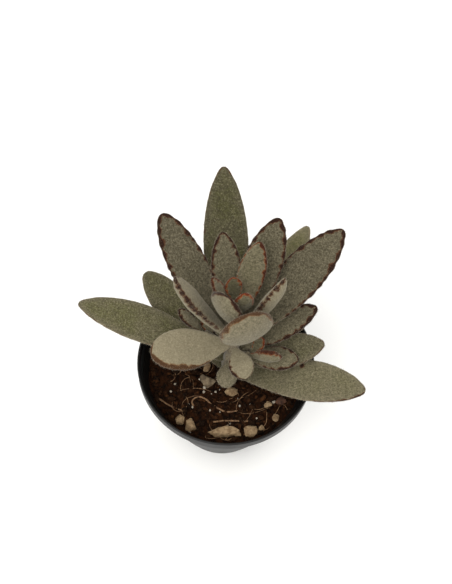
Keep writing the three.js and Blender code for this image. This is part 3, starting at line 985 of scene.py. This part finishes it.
def make_soil(height):
    low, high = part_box("soil")
    edge = high.x + SOIL_INTO_WALL
    points = []
    for ring in range(1, SOIL_RINGS + 1):
        r = edge * (ring / SOIL_RINGS) ** SOIL_CROWDING
        for side in range(SOIL_AROUND):
            angle = side / SOIL_AROUND * FULL_TURN
            x = r * math.cos(angle)
            y = r * math.sin(angle)
            points.append((x, y, height(x, y) + rough(x, y)))
    foot, _ = welded(NODES["soil"])
    foot = np.hypot(foot[:, 0], foot[:, 1])[foot[:, 2] < low.z + 0.2 * MM].max()
    for side in range(SOIL_AROUND):
        angle = side / SOIL_AROUND * FULL_TURN
        points.append((foot * math.cos(angle), foot * math.sin(angle), low.z))
    middle = len(points)
    points.append((0, 0, height(0, 0)))
    points.append((0, 0, low.z))
    faces = closed_faces(SOIL_RINGS + 1, SOIL_AROUND, middle, middle + 1)
    soil = new_mesh("potting_mix", points, [tuple(reversed(f)) for f in faces])
    shade_smooth(soil)
    soil.data.materials.append(soil_paint())
    part_of_object(soil, "soil", "soil")


def crumb(detail):
    """The points and faces of a plain ball, to be squashed and dented."""
    ball = bmesh.new()
    bmesh.ops.create_icosphere(ball, subdivisions=detail, radius=1)
    points = np.array([v.co for v in ball.verts])
    faces = np.array([[v.index for v in f.verts] for f in ball.faces])
    ball.free()
    return points, faces


def scattered(name, places, sizes, tones, stretch, detail, seed, sink=0.25):
    """One piece of many dented crumbs, each with its own size, shape, turn and tone."""
    random = np.random.default_rng(seed)
    ball, ball_faces = crumb(detail)
    points = []
    faces = []
    shade = []
    for place, size, tone in zip(places, sizes, tones):
        dents = np.array([noise.noise(Vector(p * 1.6) + Vector(place) * 900) for p in ball])
        spans = np.array([random.uniform(1, stretch), 1, random.uniform(0.5, 0.9)])
        shape = ball * (1 + CRUMB_DENTS * dents)[:, None]
        shape = shape * (size / 2 * spans)
        turn = np.array(Matrix.Rotation(random.uniform(0, FULL_TURN), 3, "Z"))
        tilt = np.array(Matrix.Rotation(random.normal(0, CRUMB_TILT), 3, "Y"))
        shape = shape @ tilt.T @ turn.T
        centre = np.array(place) + np.array([0, 0, size * sink])
        faces.append(ball_faces + len(points) * len(ball))
        points.append(shape + centre)
        shade.append(np.full(len(ball), tone))
    piece = new_mesh(name, np.vstack(points), np.vstack(faces))
    add_attribute(piece, "tone", np.concatenate(shade))
    shade_smooth(piece)
    return piece


def on_soil(height, x, y):
    """The place on the soil's rough top at x, y."""
    return (x, y, height(x, y) + rough(x, y))


def make_grit(height):
    """Crumbs of bark all over the soil, and white perlite mostly by the stem."""
    random = np.random.default_rng(GRIT_PLACE_SEED)
    _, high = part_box("soil")
    reach = high.x - 0.6 * MM
    r = reach * np.sqrt(random.random(GRIT_COUNT))
    angle = random.uniform(0, FULL_TURN, GRIT_COUNT)
    places = [on_soil(height, x, y) for x, y in zip(r * np.cos(angle), r * np.sin(angle))]
    sizes = MM * random.gamma(3.2, 0.36, GRIT_COUNT).clip(*GRIT_SPAN)
    tones = random.beta(0.9, 2.6, GRIT_COUNT)
    grit = scattered("bark_grit", places, sizes, tones, 2.4, 1, GRIT_SHAPE_SEED)
    grit.data.materials.append(grit_paint())
    part_of_object(grit, "soil")

    spots = [(x * MM, y * MM) for x, y in PERLITE_SPOTS]
    r = reach * np.sqrt(random.random(PERLITE_STRAYS))
    angle = random.uniform(0, FULL_TURN, PERLITE_STRAYS)
    spots += list(zip(r * np.cos(angle), r * np.sin(angle)))
    places = [on_soil(height, x, y) for x, y in spots]
    sizes = MM * random.uniform(*PERLITE_SPAN, len(places))
    tones = random.random(len(places))
    perlite = scattered("perlite", places, sizes, tones, 1.4, 2, PERLITE_SHAPE_SEED, 0.3)
    perlite.data.materials.append(stone_paint("perlite", 900))
    part_of_object(perlite, "pebble")


def tube(path, radius, sides):
    """Rings of points round a path that narrows at its ends."""
    path = np.asarray(path, float)
    along = unit(np.gradient(path, axis=0))
    across = unit(np.cross(along, [0.13, 0.08, 1]))
    other = np.cross(along, across)
    share = np.linspace(0, 1, len(path))
    thick = radius * np.clip(np.minimum(share, 1 - share) * 8, 0.25, 1)
    angle = np.linspace(0, FULL_TURN, sides, endpoint=False)
    ring = np.cos(angle)[None, :, None] * across[:, None]
    ring = ring + np.sin(angle)[None, :, None] * other[:, None]
    return path[:, None] + ring * thick[:, None, None]


def make_rootlets(height):
    """Hair-thin roots wandering over the soil."""
    random = np.random.default_rng(ROOTLET_SEED)
    _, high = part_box("soil")
    points = []
    faces = []
    for _ in range(ROOTLET_COUNT):
        r = (high.x - 3 * MM) * math.sqrt(random.random())
        angle = random.uniform(0, FULL_TURN)
        x = r * math.cos(angle)
        y = r * math.sin(angle)
        heading = random.uniform(0, FULL_TURN)
        bend = random.normal(0, 0.09)
        radius = MM * random.uniform(*ROOTLET_RADII)
        stride = MM * random.uniform(*ROOTLET_STRIDES)
        path = []
        for step in range(ROOTLET_STEPS):
            arch = math.sin(step / ROOTLET_STEPS * math.pi * random.uniform(0.9, 1.1))
            lift = radius + 0.5 * MM * abs(arch)
            path.append((x, y, height(x, y) + 0.3 * MM + lift))
            heading += bend + random.normal(0, 0.1)
            x += stride * math.cos(heading)
            y += stride * math.sin(heading)
            if math.hypot(x, y) > high.x - 1 * MM:
                heading += 0.5
                x *= 0.985
                y *= 0.985
        rings = tube(path, radius, ROOTLET_SIDES)
        start = sum(len(p) for p in points)
        points.append(rings.reshape(-1, 3))
        sides = grid_faces(ROOTLET_STEPS, ROOTLET_SIDES)
        faces += [tuple(start + v for v in f) for f in sides]
    rootlets = new_mesh("rootlets", np.vstack(points), faces)
    shade_smooth(rootlets)
    rootlets.data.materials.append(fibre_paint())
    part_of_object(rootlets, "root_fibre")


# ---------------------------------------------------------------- stones, fibres and stem


def refined(name, levels, dent, scale, seed, chips=0):
    """A finer copy of a CAD node, cut to flat chips and then dented by noise."""
    points, _ = welded(NODES[name])
    mesh = NODES[name].data
    keys = {tuple(np.round(p / WELD).astype(int)): i for i, p in enumerate(points)}
    same = [keys[tuple(np.round(np.array(v.co) / WELD).astype(int))] for v in mesh.vertices]
    faces = [[same[v] for v in face.vertices] for face in mesh.polygons]
    piece = new_mesh(f"{name}_surface", points, [f for f in faces if len(set(f)) == len(f)])
    finer = piece.modifiers.new("finer", "SUBSURF")
    finer.levels = levels
    finer.render_levels = levels
    apply_modifiers(piece)
    shade_smooth(piece)

    vertices = piece.data.vertices
    places = np.empty(len(vertices) * 3)
    vertices.foreach_get("co", places)
    places = places.reshape(-1, 3)
    outward = np.array([v.normal for v in vertices])
    random = np.random.default_rng(CHIP_SEED + seed)
    centre = places.mean(0)
    for _ in range(chips):
        face = unit(random.normal(0, 1, 3))
        height = (places - centre) @ face
        over = np.maximum(height - height.max() * random.uniform(*CHIP_HEIGHTS), 0)
        places = places - CHIP_FLATNESS * over[:, None] * face
    if chips:
        low = points.min(0)
        stretch = (points.max(0) - low) / (places.max(0) - places.min(0))
        places = low + (places - places.min(0)) * stretch
    shift = Vector((seed, 0, 0))
    dents = [noise.fractal(Vector(p) * scale + shift, 0.8, 2.2, 4) for p in places]
    places = places + outward * (dent * np.array(dents))[:, None]
    vertices.foreach_set("co", places.ravel())
    piece.data.update()
    piece.data.materials.clear()
    return piece


def make_stones():
    """The ten stones and the chip of bark."""
    tan = stone_paint("tan_grit")
    grey = stone_paint("grey_grit")
    for number, name in enumerate(sorted(n for n in NODES if n.startswith("pebble"))):
        stone = refined(name, 3, 0.35 * MM, 520, 3 * number, 16)
        stone.data.materials.append(grey if name == "pebble_grey" else tan)
        part_of_object(stone, "pebble", name)
    chip = refined("bark_chip", 3, 0.4 * MM, 520, 50, 14)
    chip.data.materials.append(stone_paint("bark"))
    part_of_object(chip, "bark", "bark_chip")


def make_fibres():
    paint = fibre_paint()
    for number, name in enumerate(sorted(n for n in NODES if n.startswith("root_fibre"))):
        fibre = refined(name, 2, 0.18 * MM, 700, 5 * number)
        fibre.data.materials.append(paint)
        part_of_object(fibre, "root_fibre", name)


def make_stem():
    stem = refined("stem", 2, 0.5 * MM, 260, 90)
    stem.data.materials.append(stem_paint())
    part_of_object(stem, "stem", "stem")


# ---------------------------------------------------------------- floor, light and camera


def make_stage():
    corners = [(-1, -1), (1, -1), (1, 1), (-1, 1)]
    points = [(x * FLOOR_REACH, y * FLOOR_REACH, 0) for x, y in corners]
    floor = new_mesh("floor", points, [(0, 1, 2, 3)])
    paint = Paint("pale_floor", 0.9)
    tone = paint.spread(paint.noise(3, 2.0), 0.3, 0.7)
    paint.colour(paint.mix(tone, *SHADES["floor"]))
    floor.data.materials.append(paint.material)

    world = bpy.data.worlds.new("studio")
    world.use_nodes = True
    background = world.node_tree.nodes["Background"]
    background.inputs["Color"].default_value = (1.0, 0.995, 0.985, 1)
    background.inputs["Strength"].default_value = SKY_STRENGTH
    bpy.context.scene.world = world

    for name, (place, width, power, colour) in SOFTBOXES.items():
        light = bpy.data.lights.new(name, "AREA")
        light.shape = "DISK"
        light.size = width
        light.energy = power
        light.color = colour
        lamp = bpy.data.objects.new(name, light)
        bpy.context.scene.collection.objects.link(lamp)
        lamp.location = place
        aim = LIGHT_AIM - Vector(place)
        lamp.rotation_euler = aim.to_track_quat("-Z", "Y").to_euler()


def make_camera():
    lens = bpy.data.cameras.new("camera")
    lens.lens = CAMERA_LENS
    lens.sensor_width = SENSOR_WIDTH
    lens.clip_start = CAMERA_CLIP
    camera = bpy.data.objects.new("camera", lens)
    bpy.context.scene.collection.objects.link(camera)
    aim = (CAMERA_TARGET - CAMERA_PLACE).to_track_quat("-Z", "Y")
    camera.matrix_world = (
        Matrix.Translation(CAMERA_PLACE)
        @ aim.to_matrix().to_4x4()
        @ Matrix.Rotation(CAMERA_ROLL, 4, "Z")
    )
    bpy.context.scene.camera = camera


bpy.context.scene.view_settings.view_transform = "Standard"
bpy.context.scene.view_settings.look = "None"
make_camera()
make_stage()
make_pot()
soil_top = soil_height()
make_soil(soil_top)
make_grit(soil_top)
make_rootlets(soil_top)
make_stones()
make_fibres()
make_stem()
make_leaves()
